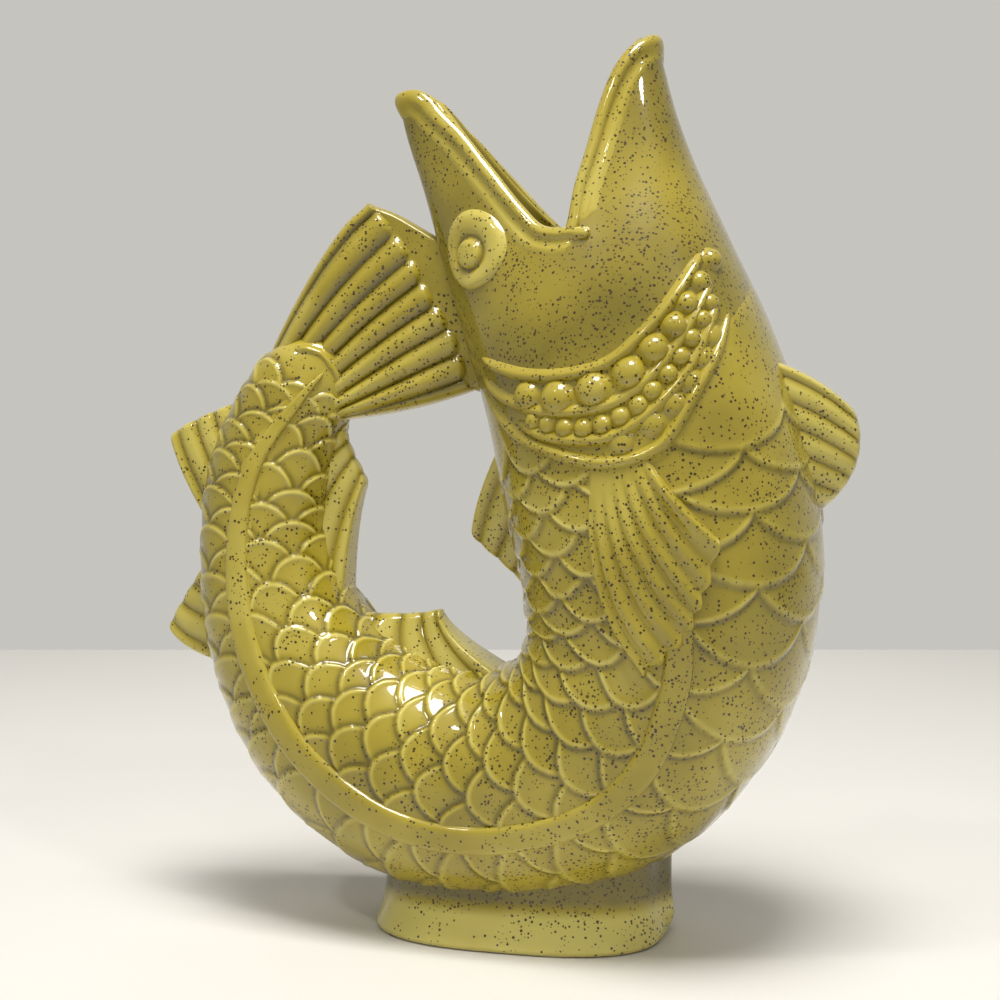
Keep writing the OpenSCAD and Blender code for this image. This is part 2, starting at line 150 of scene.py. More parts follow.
def grid_faces(rows, columns, closed=False):
    """Faces between neighbouring points of a grid laid row by row. A closed grid's last column
    joins its first."""
    i = np.arange(rows - 1)[:, None] * columns
    j = np.arange(columns if closed else columns - 1)[None]
    k = (j + 1) % columns
    return np.stack([i + j, i + k, i + k + columns, i + j + columns], -1).reshape(-1, 4)


def slab(top, under, closed=False, keep=None):
    """Solid between two grids of points with the same rows, as (points, faces). The under grid
    may have fewer columns: then each of its points is joined to several of the top's. keep says
    which cells of two like grids are there, and the hole's own walls join the two."""
    rows, wide = top.shape[:2]
    narrow = under.shape[1]
    each = wide // narrow if closed else (wide - 1) // (narrow - 1)
    base = rows * wide
    over, below = grid_faces(rows, wide, closed), grid_faces(rows, narrow, closed)[:, ::-1] + base
    faces = []
    if keep is not None:
        cells = keep.reshape(-1)
        gone = np.pad(~keep, 1)
        for di, dj, a, b in ((0, -1, 3, 0), (0, 1, 1, 2), (-1, 0, 0, 1), (1, 0, 2, 3)):
            beside = gone[1 + di:gone.shape[0] - 1 + di, 1 + dj:gone.shape[1] - 1 + dj]
            edge = over[(keep & beside).reshape(-1)]
            faces.append(np.stack([edge[:, b], edge[:, a],
                                   edge[:, a] + base, edge[:, b] + base], -1))
        over, below = over[cells], below[cells]
    faces += [over, below]
    i = np.arange(rows - 1)
    if not closed:
        first, last = (i, i) if keep is None else (i[keep[:, 0]], i[keep[:, -1]])
        t, b = first * wide, base + first * narrow
        faces.append(np.stack([t, t + wide, b + narrow, b], -1))
        t, b = last * wide + wide - 1, base + last * narrow + narrow - 1
        faces.append(np.stack([t + wide, t, b, b + narrow], -1))
    j = np.arange(wide if closed else wide - 1)
    q = np.arange(narrow if closed else narrow - 1)
    jn, qn = (j + 1) % wide, (q + 1) % narrow
    corner = ((q + 1) * each) % wide
    for row, turned in ((0, False), (rows - 1, True)):
        t, b = row * wide, base + row * narrow
        upper = [t + jn, t + j, b + (j // each) % narrow]
        lower = [t + corner, b + q, b + qn]
        for three in (upper, lower):
            faces.append(np.stack(three[::-1] if turned else three, -1))
    return np.concatenate([top.reshape(-1, 3), under.reshape(-1, 3)]), faces


def add_object(name, data):
    made = bpy.data.objects.new(name, data)
    bpy.context.scene.collection.objects.link(made)
    return made


def add_piece(name, parts, pool_and_painted_light=None):
    """Makes one piece from parts of (points, faces). A part that closes a negative volume, the
    sum of corner . (corner x corner) / 6 over its faces, is turned over first. Points that share
    a place are merged, so seams and poles are closed. The pool values go with the points: how
    deep the glaze pools, and on some pieces painted shade and light. Edges that turn by more
    than 60 degrees stay sharp."""
    points, faces, start = [], [], 0
    for own, rows in parts:
        volume = 0
        for f in rows:
            for k in range(1, f.shape[1] - 1):
                a, b, c = own[f[:, 0]], own[f[:, k]], own[f[:, k + 1]]
                volume += (a * np.cross(b, c)).sum()
        for f in rows:
            faces += ((f if volume > 0 else f[:, ::-1]) + start).tolist()
        points.append(own)
        start += len(own)
    mesh = bpy.data.meshes.new(name)
    mesh.from_pydata(np.concatenate(points).tolist(), [], faces)
    depth = np.zeros(start, np.float32)
    if pool_and_painted_light is not None:
        depth[:pool_and_painted_light.size] = pool_and_painted_light.reshape(-1)
    mesh.attributes.new("pool_and_painted_light", "FLOAT", "POINT").data.foreach_set("value", depth)
    work = bmesh.new()
    work.from_mesh(mesh)
    bmesh.ops.remove_doubles(work, verts=work.verts, dist=1e-6)
    bmesh.ops.delete(work, geom=[e for e in work.edges if not e.link_faces], context="EDGES")
    bmesh.ops.delete(work, geom=[v for v in work.verts if not v.link_faces], context="VERTS")
    work.to_mesh(mesh)
    work.free()
    mesh.polygons.foreach_set("use_smooth", np.ones(len(mesh.polygons), bool))
    mesh.set_sharp_from_angle(angle=np.radians(60))
    return add_object(name, mesh)


# The finish: glossy speckled mustard glaze on buff clay, dipped and fired. It runs thin and pale
# on ridges, pools darker in recesses, and iron specks of 0.3 to 1 mm break through it. The pale
# and dark glaze colours also carry painted light and shade: a darker head, side fin and tail fan,
# and a pale skirt and a dark crease on the foot.
GLAZE, PALE_GLAZE, DARK_GLAZE, SPECK, CLAY = "#ac9b30", "#dace6e", "#685d14", "#351f03", "#c9b594"


def colour(text):
    """An sRGB hex colour as linear red, green, blue and 1."""
    c = np.array([int(text[i:i + 2], 16) for i in (1, 3, 5)]) / 255
    return (*np.where(c <= 0.04045, c / 12.92, ((c + 0.055) / 1.055) ** 2.4), 1)


def plug(node, inputs):
    """Sets a node's sockets to values or links. A node stands for its own first output."""
    for key, value in inputs.items():
        if isinstance(value, bpy.types.Node):
            value = value.outputs[0]
        if isinstance(value, bpy.types.NodeSocket):
            node.id_data.links.new(value, node.inputs[key])
        else:
            node.inputs[key].default_value = value


def add_node(tree, kind, inputs=None, **settings):
    """Adds one shader node. settings are its own choices, and inputs what its sockets get."""
    made = tree.nodes.new("ShaderNode" + kind)
    for key, value in settings.items():
        setattr(made, key, value)
    plug(made, inputs or {})
    return made


glaze = bpy.data.materials.new("speckled_mustard_glaze_on_earthenware")
glaze.use_nodes = True
tree = glaze.node_tree
place = add_node(tree, "TexCoord").outputs["Object"]
# The glaze's tone is the piece's own pool values, which hold glaze pooling and, on the head, the
# side fin, the tail fan and the foot, also painted shade and light, and a drift of 36 mm from one
# swell to the next.
pool_and_painted_light = add_node(tree, "Attribute", attribute_name="pool_and_painted_light").outputs["Fac"]
drift = add_node(tree, "TexNoise", {"Vector": place, "Scale": 1 / (35.7 * MM), "Detail": 3.0})
level = add_node(tree, "MapRange", {0: drift, 1: 0.3, 2: 0.7, 3: -0.35, 4: 0.35})
depth = add_node(tree, "Math", {0: pool_and_painted_light, 1: level}, operation="ADD")
share = add_node(tree, "Math", {0: depth, 1: 0.5, 2: 0.5}, operation="MULTIPLY_ADD")
ramp = add_node(tree, "ValToRGB", {0: share})
ramp.color_ramp.elements[0].color = colour(DARK_GLAZE)
ramp.color_ramp.elements[1].color = colour(PALE_GLAZE)
ramp.color_ramp.elements.new(0.5).color = colour(GLAZE)
# Specks: iron spots of two sizes, at most one to a cell of 1.0 mm and one to a cell of 2.9 mm. A
# cell has one where its random number passes a limit that drifts over 14 mm and is lower in the
# recesses and towards the belly, so that specks gather there. A jitter frays their outline.
SPECK_FRAY, SPECK_DRIFT = 0.48 * MM, 14.3 * MM
jitter = add_node(tree, "TexNoise", {"Vector": place, "Scale": 1 / SPECK_FRAY, "Detail": 1.0})
frayed = add_node(tree, "VectorMath", {0: jitter.outputs["Color"], 1: (0.3 * MM,) * 3, 2: place},
                  operation="MULTIPLY_ADD")
drifts = add_node(tree, "TexNoise", {"Vector": place, "Scale": 1 / SPECK_DRIFT, "Detail": 2.0})
across_jug = add_node(tree, "SeparateXYZ", {0: place})
front_more = add_node(tree, "MapRange", {0: across_jug, 1: -0.06, 2: 0.03, 3: -0.05, 4: 0.12})
crowding = add_node(tree, "Math", {0: drifts, 1: front_more}, operation="ADD")
crowding = add_node(tree, "Math", {0: pool_and_painted_light, 1: -0.10, 2: crowding}, operation="MULTIPLY_ADD")
# Cell, limit where specks are few and where they crowd, least and largest radius in cells.
SPECKS = [(1.0 * MM, 0.95, 0.05, 0.16, 0.44), (2.94 * MM, 1.0, 0.40, 0.07, 0.18)]
marks = []
for cell, few, many, small, large in SPECKS:
    cells = add_node(tree, "TexVoronoi", {"Vector": frayed, "Scale": 1 / cell})
    chance = add_node(tree, "SeparateColor", {0: cells.outputs["Color"]})
    limit = add_node(tree, "MapRange", {0: crowding, 1: 0.34, 2: 0.74, 3: few, 4: many})
    there = add_node(tree, "Math", {0: chance, 1: limit}, operation="GREATER_THAN")
    radius = add_node(tree, "MapRange", {0: chance.outputs[1], 1: 0.0, 2: 1.0, 3: small, 4: large})
    inside = add_node(tree, "Math", {0: radius, 1: cells.outputs["Distance"]}, operation="SUBTRACT")
    spot = add_node(tree, "MapRange", {0: inside, 1: -0.03, 2: 0.08, 3: 0.0, 4: 0.96})
    marks.append(add_node(tree, "Math", {0: spot, 1: there}, operation="MULTIPLY"))
speck = add_node(tree, "Math", dict(enumerate(marks)), operation="MAXIMUM")
spotted = add_node(tree, "Mix", {0: speck, 6: ramp, 7: colour(SPECK)}, data_type="RGBA")
# The underside of the foot is wiped bare before firing, up to 0.4 mm.
height = add_node(tree, "SeparateXYZ", {0: place}).outputs[2]
bare = add_node(tree, "MapRange", {0: height, 1: 0.2 * MM, 2: 0.6 * MM, 3: 1.0, 4: 0.0})
final = add_node(tree, "Mix", {0: bare, 6: spotted.outputs[2], 7: colour(CLAY)}, data_type="RGBA")
# A faint orange peel, 2.4 mm from one to the next, under a clear coat that gives the sharp lights.
peel = add_node(tree, "TexNoise", {"Vector": place, "Scale": 1 / (2.38 * MM), "Detail": 2.0})
bump = add_node(tree, "Bump", {"Strength": 0.25, "Distance": 0.1 * MM, "Height": peel})
plug(tree.nodes["Principled BSDF"], {
    "Base Color": final.outputs[2], "Normal": bump, "Coat Normal": bump, "Roughness": 0.34,
    "IOR": 1.5, "Specular IOR Level": 0.2, "Coat Weight": 0.9, "Coat Roughness": 0.04,
    "Coat IOR": 1.5})


def glazed(piece, *nodes):
    """Glazes a piece of the jug. It stands for the CAD nodes that are named."""
    piece.data.materials.append(glaze)
    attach(piece, "root")
    if nodes:
        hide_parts(*nodes)


def on_both_sides(name, parts, node=None, pool_and_painted_light=None):
    """Adds and glazes a piece, and its mirror image on the far side of the fish, y turned to -y."""
    mirrored = [(points * [1, -1, 1], faces) for points, faces in parts]
    for side, own in (("front_", parts), ("back_", mirrored)):
        glazed(add_piece(side + name, own, pool_and_painted_light), *([side + node] if node else []))


# Where the scaled skin starts behind the gills, by angle, and the line that parts its upper and
# lower fields, by station: the middle of the flank band, run on under the side fin.
SKIN_START = np.array([[0, 3.40], [36, 3.75], [59, 4.28], [78, 4.69], [92, 4.72], [99, 4.70],
                       [122, 4.36], [135, 4.04], [148, 3.45], [180, 3.35]])
SKIN_END = 15.62
BAND = np.array([
    [15.65, 115.5], [15.40, 109.5], [14.97, 104], [14.58, 97.5], [14.14, 91], [13.4, 86],
    [12.5, 82], [11.5, 79], [10.6, 76], [9.8, 74], [8.9, 73], [8.2, 71], [7.6, 71.5], [7.1, 74.5],
    [6.74, 76], [6.45, 77.5], [6.12, 78], [6.0, 78], [5.5, 80], [5.0, 85], [4.75, 92]])


def band_angle(u):
    return np.interp(u, BAND[::-1, 0], BAND[::-1, 1])


def inside_skin(u, v):
    """Distance in metres to the nearest edge of the scaled fields, below zero outside them."""
    pu, pv = slopes(u, v)
    ahead = (u - np.interp(v, SKIN_START[:, 0], SKIN_START[:, 1])) * size(pu)
    behind = (SKIN_END - u) * size(pu)
    return np.minimum(np.minimum(ahead, behind), abs(v - band_angle(u)) * size(pv))


# Rings: the first follow the mouth's edge, the last close the tail on a quarter circle. The
# outside is sunk by 0.7 mm where the scaled skin lies over it.
SPOKES, HEAD_RINGS, RING_STEP, CAP_RINGS = 109, 39, 0.1, 14
angles = np.linspace(0, 180, SPOKES)[None]
lead = np.linspace(0, 1, HEAD_RINGS + 1)[:-1, None]
run = np.arange(HEAD_END, CAP_START, RING_STEP)[:, None]
tail = CAP_START + np.sin(np.linspace(0, np.pi / 2, CAP_RINGS))[:, None]
rim = np.interp(angles, RIM[:, 0], RIM[:, 1])
lip_step = WALL / 2 / size(slopes(rim, angles)[0])
ring_u = np.concatenate([rim + lip_step + (HEAD_END - rim - lip_step) * lead,
                         run + 0 * angles, tail + 0 * angles])
ring_v = angles + 0 * ring_u
sunk = -0.7 * MM * ease(2.5 * MM, 6 * MM, inside_skin(ring_u, ring_v))
outer = skin(ring_u, ring_v, sunk)
last, tip = curve(STATIONS, np.array([CAP_START, TAIL_END]))[:, :2]
inner_end = TAIL_END - WALL / size(tip - last)
drawn_back = CAP_START + (ring_u - CAP_START) * (inner_end - CAP_START)
inner = body(np.where(ring_u > CAP_START, drawn_back, ring_u), ring_v, -WALL, inner_end)
# The mouth's edge is rounded over the wall: u falls by sin and rise by 1 - cos of a half turn.
turn = np.linspace(0, np.pi, 9)[1:-1, None]
edge = body(rim + lip_step * (1 - np.sin(turn)), angles, -WALL / 2 * (1 - np.cos(turn)))
outer = np.concatenate([edge[:4][::-1], outer])
inner = np.concatenate([edge[3:], inner])

# The foot's outline is |x/a|^q + |y/b|^q = 1. Cells over its well are left out of the shells.
FOOT_LEN, FOOT_WID, WAIST_LEN, WAIST_WID = 0.084, 0.056, 0.080, 0.049
FOOT_H, FOOT_WALL, FOOT_SQUARENESS, WELL_TOP = 0.014, 0.005, 2.6, 0.030


def in_well(points):
    """Whether a point is over the foot's well, and low enough to be in the belly."""
    a, b = WAIST_LEN / 2 - FOOT_WALL, WAIST_WID / 2 - FOOT_WALL
    x, y = abs(points[..., 0]) / a, abs(points[..., 1]) / b
    return (x ** FOOT_SQUARENESS + y ** FOOT_SQUARENESS < 1) & (points[..., 2] < WELL_TOP)


well = in_well(outer) & in_well(inner)
keep = ~(well[:-1, :-1] | well[1:, :-1] | well[:-1, 1:] | well[1:, 1:])
half = [slab(outer, inner, keep=keep)]
# Painted shade: the smooth head, up to the gills, is painted darker, as if it lay in shade.
edge_u = np.concatenate([np.broadcast_to(rim, (4, rim.shape[1])), ring_u])
head_painted_shade = -0.6 * (1 - ease(3.4, 4.3, edge_u))
on_both_sides("half", half, "shell", head_painted_shade)

# Scaled skin, four fields
# Low relief pressed by the mould: overlapping round scales, each a shallow dish with a raised
# rim about 1.2 mm wide. The upper field runs from the flank band to the back, the lower one to
# the belly. They are part of the wall, and their edges sink under the gill line, band and fin.

# Stations of the rows' free edges, then angle of the middle column and columns' spacing by station.
UPPER_ROWS = [4.63, 5.08, 5.57, 6.12, 6.60, 7.21, 7.68, 8.17, 8.66, 9.17, 9.73, 10.25, 10.74,
              11.20, 11.72, 12.32, 12.87, 13.37, 13.86, 14.50, 15.04, 15.45]
UPPER_MIDDLE = np.array([[4.6, 126], [5.1, 124], [5.6, 123], [6.1, 124], [7, 124], [8, 125],
                         [9, 126], [10.3, 127], [11.2, 131], [12.33, 132], [13.4, 131],
                         [14.5, 131], [15.04, 137]])
UPPER_SPACING = np.array([[4.6, 14], [5, 14], [6, 12], [7, 15.5], [8, 17.5], [9, 16], [10.3, 15],
                          [11.5, 16.5], [12.4, 23], [13, 27], [14.2, 26], [15, 24]])
LOWER_ROWS = [4.87, 5.41, 5.98, 6.62, 7.13, 7.70, 8.17, 8.60, 9.03, 9.47, 9.90, 10.32, 10.91,
              11.30, 11.62, 12.02, 12.40, 12.79, 13.29, 13.73, 14.15, 14.50, 14.97, 15.36]
LOWER_MIDDLE = np.array([[4, 0], [16, 0]])
LOWER_SPACING = np.array([[4, 25], [8, 25], [8.6, 24], [10, 24], [11, 26.5], [16, 27]])
# Heights of a scale where it comes out and how far it climbs; its rim's place, width and height.
SCALE_ROOT, SCALE_CLIMB = -0.3 * MM, 0.55 * MM
RIM_PLACE, RIM_WIDE, RIM_HIGH = 0.6 * MM, 0.42 * MM, 0.42 * MM
# Row number and distance, in rows or millimetres, past the last row. Station where the tail starts.
NO_ROW, FAR, TRUNK_END = 99, 9, 8


def scales(u, v, rows, middle, spacing, bow, reach):
    """Relief of a field of scales, in metres, and how deep the glaze pools, from -1 to 1.
    Rows are counted by r(u) and columns by k = (v - middle) / spacing. A scale in column m of row
    i ends at r = i - bow (1 - sqrt(1 - ((k - m) / reach)^2)). Even columns have whole rows and
    odd ones half rows, and a scale nearer the head lies over one nearer the tail. The height
    climbs from 0.3 mm below the skin, behind the scale above, to 0.25 mm over it, with a rim of
    0.4 mm just before the free edge that fades to its sides as fade(u) says."""
    rows = np.asarray(rows)
    count = np.arange(len(rows))
    r = np.interp(u, rows, count)
    r = r + 2 * np.minimum(u - rows[0], 0) + 2 * np.maximum(u - rows[-1], 0)
    k = (v - np.interp(u, *middle.T)) / np.interp(u, *spacing.T)
    pu, pv = slopes(u, v)
    pitch = size(pu) / np.maximum(np.gradient(r, axis=0) / np.gradient(u, axis=0), 0.5)
    width = size(pv) * np.interp(u, *spacing.T)
    seen = []
    for odd in (0, 1):
        m = 2 * np.round((k - odd) / 2) + odd
        x = np.clip((k - m) / reach, -0.985, 0.985)
        drop = bow * (1 - np.sqrt(1 - x * x))
        slant = bow * x / np.sqrt(1 - x * x) / reach
        i = np.maximum(np.ceil(r + drop - odd / 2), 0) + odd / 2
        length = 1 / np.sqrt(1 / pitch ** 2 + (slant / width) ** 2)
        before = np.where(i - 1 < 0, FAR, r + drop - i + 1)
        row = np.where(i > count[-1], NO_ROW, i)
        seen.append((row, (i - drop - r) * length, before * length, x * x))
    (i0, ahead0, back0, side0), (i1, ahead1, back1, side1) = seen
    even = i0 < i1
    ahead = np.where(even, ahead0, ahead1)
    back = np.where(even, np.where(i1 - 1 < i0, np.minimum(back0, back1), back0),
                    np.where(i0 - 1 < i1, np.minimum(back0, back1), back1))
    ahead = np.where(np.minimum(i0, i1) == NO_ROW, FAR * MM, ahead)
    share = back / (back + ahead + 0.1 * MM)
    rim = np.exp(-((ahead - RIM_PLACE) / RIM_WIDE) ** 2)
    rim = rim * (1 - fade(u) * np.where(even, side0, side1))
    height = SCALE_ROOT + SCALE_CLIMB * share + RIM_HIGH * rim
    dark = np.exp(-(back / (1.0 * MM)) ** 2)
    return height, np.clip(1.2 * rim - 1.5 * dark - 0.1, -1, 1)


def fade(u):
    """How much of a scale's rim is lost at its sides: none on the belly, most of it on the tail."""
    return 0.8 * ease(7.5, 9.5, u)


def soften(a, times):
    """Averages a grid with its neighbours, 1-2-1, along both ways."""
    for _ in range(times):
        for axis in (0, 1):
            p = np.pad(a, [(1, 1) if n == axis else (0, 0) for n in (0, 1)], mode="edge")
            a = (p.take(range(0, a.shape[axis]), axis) + 2 * a
                 + p.take(range(2, a.shape[axis] + 2), axis)) / 4
    return a


def scaled_field(rings, columns, upper):
    """Grid of one field from its front edge to the tail, with its relief and glaze depth. The
    relief grows over 4 mm from the field's edges, but on the tail it stands there at once. The
    edges dip by 0.25 mm, and the closing sheet lies 2.2 mm down, inside the wall."""
    share = np.linspace(0, 1, columns)[None]
    front_v = 92 + share * 88 if upper else share * 92
    front_u = np.interp(front_v, SKIN_START[:, 0], SKIN_START[:, 1])
    u = front_u + (SKIN_END - front_u) * np.linspace(0, 1, rings)[:, None]
    line = band_angle(u)
    v = line + share * (180 - line) if upper else share * line
    if upper:
        height, dark = scales(u, v, UPPER_ROWS, UPPER_MIDDLE, UPPER_SPACING, bow=1.2, reach=1.1)
    else:
        height, dark = scales(u, v, LOWER_ROWS, LOWER_MIDDLE, LOWER_SPACING, bow=0.85, reach=1.12)
    inner_edge = inside_skin(u, v)
    shown = ease(1 * MM, 5 * MM, np.where(u < TRUNK_END, inner_edge, inner_edge + 4 * MM))
    height = soften(height, 2) * shown - 0.25 * MM * (1 - ease(0, 2.5 * MM, inner_edge))
    step = (columns - 1) // 6
    under = body(u[:, ::step], v[:, ::step], -2.2 * MM)
    return slab(skin(u, v, height), under), soften(dark, 1) * shown


# Name, upper or not, and the grid's rings and columns.
FIELDS = [("upper_scales", True, 590, 151), ("lower_scales", False, 680, 133)]
for name, upper, rings, columns in FIELDS:
    field, dark = scaled_field(rings, columns, upper)
    on_both_sides(name, [field], pool_and_painted_light=dark)

# Rolled lips of the mouth
# A bead rolled along the mouth's edge, with a groove and a soft ridge below it, smoothed into the
# cheek. The upper jaw's lip runs past the corner and lies over the lower jaw's as a tongue.

UPPER_LIP = [(2.49, 77), (2.45, 81), (2.40, 85), (2.36, 90.5), (2.25, 97.5), (2.03, 103.5),
             (1.77, 110.5), (1.58, 116.5), (1.35, 124.5), (1.14, 134.5), (1.03, 139), (0.94, 147),
             (0.90, 160), (0.89, 180)]
LOWER_LIP = [(2.42, 86), (2.32, 83), (2.04, 76.5), (1.80, 68), (1.55, 58), (1.35, 47),
             (1.23, 34.5), (1.17, 18), (1.15, 0)]
# Sections in millimetres: across from the mouth's edge, and out from the skin. One is for most of
# the lip, one for the thick roll at the tip of each jaw, and one for the tongue's bare end.
LIP = [(-0.3, -2.6), (-0.9, -1.7), (-1.45, -0.6), (-1.35, 0.45), (-0.6, 1.25), (0.4, 1.45),
       (1.3, 1.0), (2.0, 0.4), (2.8, 0.15), (3.7, 0.2), (4.7, 0.4), (5.8, 0.2), (6.9, -0.25),
       (7.6, -0.8)]
LIP_AT_TIP = [(0.2, -2.8), (-0.1, -2.3), (-0.4, -1.5), (-0.5, -0.5), (-0.2, 0.5), (0.6, 1.2),
              (1.7, 1.45), (3.0, 1.3), (4.2, 1.0), (5.3, 0.65), (6.2, 0.35), (6.9, 0.0),
              (7.3, -0.4), (7.6, -0.8)]
TONGUE = [(0.6, -1.6), (-0.6, -1.3), (-1.45, -0.6), (-1.4, 0.5), (-0.6, 1.35), (0.5, 1.55),
          (1.5, 1.1), (2.0, 0.35), (2.1, -0.1), (2.2, -0.35), (2.4, -0.6), (2.6, -0.8),
          (2.8, -1.0), (3.0, -1.2)]
LIP_UNDER = [(-0.3, -2.6), (1.5, -2.8), (4.0, -2.2), (7.6, -0.8)]
TONGUE_UNDER = [(0.6, -1.6), (1.2, -1.8), (2.2, -1.7), (3.0, -1.2)]
# Points along a lip and across it. The roll at a jaw's tip is 10 mm long each way, the tongue's
# section holds over the last 7 mm, and its end is rounded over 1.9 mm about its section's middle.
LIP_POINTS, LIP_COLUMNS = 421, 57
TIP_RUN, TONGUE_RUN, END_ROUND, LIP_MIDDLE = 10 * MM, 7 * MM, 1.9 * MM, np.array([0.5, -0.4]) * MM


def laid(u, v, x, y):
    """Points beside a line (u, v) of the skin, x metres across it and y above it. The step across
    is A = N x T, with T along the line and N outwards, and its shares du and dv solve
    Pu du + Pv dv = A x."""
    pu, pv = slopes(u, v)
    across = np.cross(unit(np.cross(pv, pu)), unit(np.gradient(skin(u, v), axis=0)))
    uu, vv, uv = (pu * pu).sum(-1), (pv * pv).sum(-1), (pu * pv).sum(-1)
    ua, va = (pu * across).sum(-1), (pv * across).sum(-1)
    full = uu * vv - uv ** 2
    du, dv = (ua * vv - va * uv) / full, (va * uu - ua * uv) / full
    return skin(u[:, None] + x * du[:, None], v[:, None] + x * dv[:, None], y)


def rounded(distance, radius):
    """Height share of an edge rounded over a radius: sqrt(1 - (1 - d/r)^2)."""
    return np.sqrt(1 - (1 - np.clip(distance / radius, 0, 1)) ** 2)


def section(points):
    """A lip's section as a smooth line of LIP_COLUMNS points, in metres."""
    return along(points, LIP_COLUMNS).T[None] * MM


lips = []
for path, is_upper in ((UPPER_LIP, True), (LOWER_LIP, False)):
    mirrored = [(u, 360 - v if is_upper else -v) for u, v in path[-2::-1]]
    u, v = along(path + mirrored, LIP_POINTS)
    run = np.concatenate([[0], np.cumsum(size(np.diff(skin(u, v), axis=0)))])
    from_end = np.minimum(run, run[-1] - run)[:, None, None]
    from_tip = abs(run - run[-1] / 2)[:, None, None]
    at_tip = np.exp(-(from_tip / TIP_RUN) ** 2)
    at_end = 1 - ease(1 * MM, TONGUE_RUN, from_end)
    top = section(LIP) * (1 - at_tip) + section(LIP_AT_TIP) * at_tip
    top = top * (1 - at_end) + section(TONGUE) * at_end
    under = section(LIP_UNDER) * (1 - at_end) + section(TONGUE_UNDER) * at_end
    from_corner = np.linspace(1, 0, LIP_COLUMNS)[None, :, None] ** 2
    under = under + (top[:, :1] - under[:, :1]) * from_corner
    taper = rounded(from_end, END_ROUND)
    flip = 1 if is_upper else -1
    top, under = (LIP_MIDDLE + (a - LIP_MIDDLE) * taper for a in (top, under))
    lips.append(slab(laid(u, v, flip * top[..., 0], top[..., 1]),
                     laid(u, v, flip * under[..., 0], under[..., 1])))
glazed(add_piece("mouth_lips", lips), "mouth_lip")

# Eyes
# A round pad of clay on each cheek, dished round a domed pupil, with a fine ring cut round it.

# Place, radii along the body and round it, depth and lean towards the back, and points round.
EYE_PLACE, EYE_R, EYE_DEPTH, EYE_LEAN = (2.19, 130), (0.0112, 0.0106), 1.6 * MM, 1.2 * MM
EYE_SPOKES, EYE_RINGS = 96, 61
# Section: share of the radius, and height in millimetres, from the pupil's top to the pad's edge.
EYE_SECTION = [(0, 2.15), (0.14, 2.12), (0.25, 2.0), (0.32, 1.7), (0.36, 1.15), (0.40, 0.5),
               (0.46, 0.4), (0.53, 0.8), (0.62, 1.2), (0.75, 1.4), (0.86, 1.3), (0.93, 0.9),
               (0.99, 0.2), (1.04, -0.7)]


def nearby(place, x, y, rise):
    """Points x metres along the body and y round it from a place on the skin."""
    u, v = np.array(place[0], float), np.array(place[1], float)
    pu, pv = slopes(u, v)
    return skin(u + x / size(pu), v + y / size(pv), rise)


def round_pad(place, radii, shares, heights, spokes, depth, lean=0.0):
    """A pad: ovals at shares of its two radii, along the body and round it, each at its height,
    over a sheet at depth. lean moves the inner ones towards the back."""
    turn = np.linspace(0, 2 * np.pi, spokes, endpoint=False)[None]
    r = np.maximum(shares, 0)[:, None]
    x, y = radii[0] * r * np.cos(turn), radii[1] * r * np.sin(turn) + lean * (1 - r)
    return slab(nearby(place, x, y, heights[:, None] + 0 * x),
                nearby(place, x, y, -depth + 0 * x), closed=True)


shares, heights = along(EYE_SECTION, EYE_RINGS)
eye = [round_pad(EYE_PLACE, EYE_R, shares, heights * MM, EYE_SPOKES, EYE_DEPTH, EYE_LEAN)]
# The glaze pools in the ring round the pupil.
ring_pool = np.repeat(0.2 - 1.2 * np.exp(-((shares - 0.43) / 0.06) ** 2), EYE_SPOKES)
on_both_sides("eye_pad", eye, "eye", ring_pool)

# Gill lines
# Four raised lines on each cheek that frame the rows of gill beads, with soft round crowns that
# run out at both ends.

GILL_LINES = [
    [(3.17, 142), (3.65, 114), (3.82, 90), (3.66, 70), (3.39, 52), (3.10, 36)],
    [(3.36, 145), (3.75, 131), (4.06, 115), (4.20, 90), (4.00, 69), (3.60, 47), (3.42, 38)],
    [(4.05, 129), (4.33, 115), (4.49, 93), (4.26, 69), (3.87, 50), (3.62, 40)],
    [(3.45, 148), (4.04, 135), (4.36, 122), (4.70, 99), (4.69, 78), (4.28, 59), (3.75, 36)]]
GILL_W, GILL_H, LINE_CROWD = 0.0044, 0.0015, 0.7


def ridge(path, width, height, crown=2.0, fall=1.3, count=160, columns=21, ends=0.12):
    """A raised line on the skin: across it the height falls as (1 - |t|^crown)^fall to 0.5 mm
    below the skin, and it runs out over a share of its length at each end. width is one value
    or a list of (station, width)."""
    u, v = along(path, count, LINE_CROWD)
    s = crowded(count, LINE_CROWD)
    out = rounded(np.minimum(s, 1 - s), ends)[:, None]
    t = np.sin(np.linspace(-np.pi / 2, np.pi / 2, columns))[None]
    if not np.isscalar(width):
        width = np.interp(u, *np.asarray(width).T)[:, None]
    x = width / 2 * out * t
    body_of_line = np.maximum(1 - abs(t) ** crown, 0) ** fall
    return slab(laid(u, v, x, -0.5 * MM + (height + 0.5 * MM) * out * body_of_line),
                laid(u, v, x, -0.5 * MM - 1.2 * MM * body_of_line * out))


lines = [ridge(path, GILL_W, GILL_H) for path in GILL_LINES]
on_both_sides("gill_ridges", lines, "gill_lines")

# Gill beads
# Rows of domed beads between the gill lines, large in front, small behind, and a third row of
# faint swellings.

